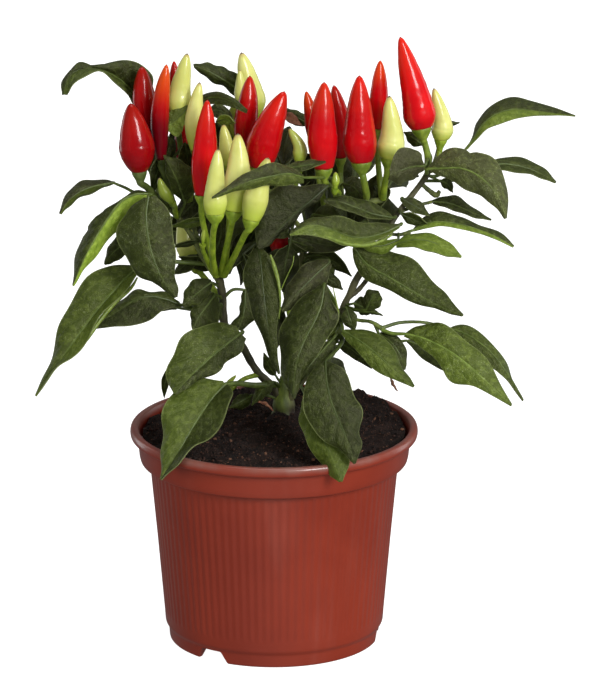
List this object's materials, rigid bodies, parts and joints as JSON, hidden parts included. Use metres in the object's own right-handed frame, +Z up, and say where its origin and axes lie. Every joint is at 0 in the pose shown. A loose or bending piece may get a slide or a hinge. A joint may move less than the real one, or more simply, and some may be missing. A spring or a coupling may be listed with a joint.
{
  "type": "potted chilli pepper plant",
  "caption": "Bushy ornamental chilli plant with upright red and yellow fruits and dark pointed leaves, standing in soil in a ribbed round plastic nursery pot.",
  "frame": {"origin": "centre of the pot's underside, on the surface it stands on", "axes": "+Z up along the pot's axis, -Y towards the viewer of the picture, +X to its right"},
  "size_m": [0.2413, 0.1468, 0.2786],
  "materials": {
    "pot": "satin",
    "soil": "matte",
    "stem": "satin",
    "fruit_red": "gloss",
    "fruit_yellow": "gloss",
    "leaf": "satin"
  },
  "bodies": {
    "root": {"pot": "pot", "soil": "soil", "stem": "stem", "fruit_red_01": "fruit_red", "fruit_red_02": "fruit_red", "fruit_red_03": "fruit_red", "fruit_red_04": "fruit_red", "fruit_red_07": "fruit_red", "fruit_red_08": "fruit_red", "fruit_red_15": "fruit_red", "fruit_red_16": "fruit_red", "fruit_red_18": "fruit_red", "fruit_red_19": "fruit_red", "fruit_red_20": "fruit_red", "fruit_red_21": "fruit_red", "fruit_red_22": "fruit_red", "fruit_red_24": "fruit_red", "fruit_red_27": "fruit_red", "fruit_red_29": "fruit_red", "fruit_yellow_05": "fruit_yellow", "fruit_yellow_06": "fruit_yellow", "fruit_yellow_09": "fruit_yellow", "fruit_yellow_10": "fruit_yellow", "fruit_yellow_11": "fruit_yellow", "fruit_yellow_12": "fruit_yellow", "fruit_yellow_13": "fruit_yellow", "fruit_yellow_14": "fruit_yellow", "fruit_yellow_17": "fruit_yellow", "fruit_yellow_23": "fruit_yellow", "fruit_yellow_25": "fruit_yellow", "fruit_yellow_26": "fruit_yellow", "fruit_yellow_28": "fruit_yellow", "leaf_01": "leaf", "leaf_02": "leaf", "leaf_03": "leaf", "leaf_04": "leaf", "leaf_06": "leaf", "leaf_07": "leaf", "leaf_11": "leaf", "leaf_12": "leaf", "leaf_13": "leaf", "leaf_14": "leaf", "leaf_15": "leaf", "leaf_16": "leaf", "leaf_16_under": "leaf", "leaf_17": "leaf", "leaf_18": "leaf", "leaf_20": "leaf", "leaf_21": "leaf", "leaf_23": "leaf", "leaf_24": "leaf", "leaf_25": "leaf", "leaf_26": "leaf", "leaf_28": "leaf", "leaf_29": "leaf", "leaf_30": "leaf", "leaf_31": "leaf", "leaf_32": "leaf"}
  },
  "joints": []
}
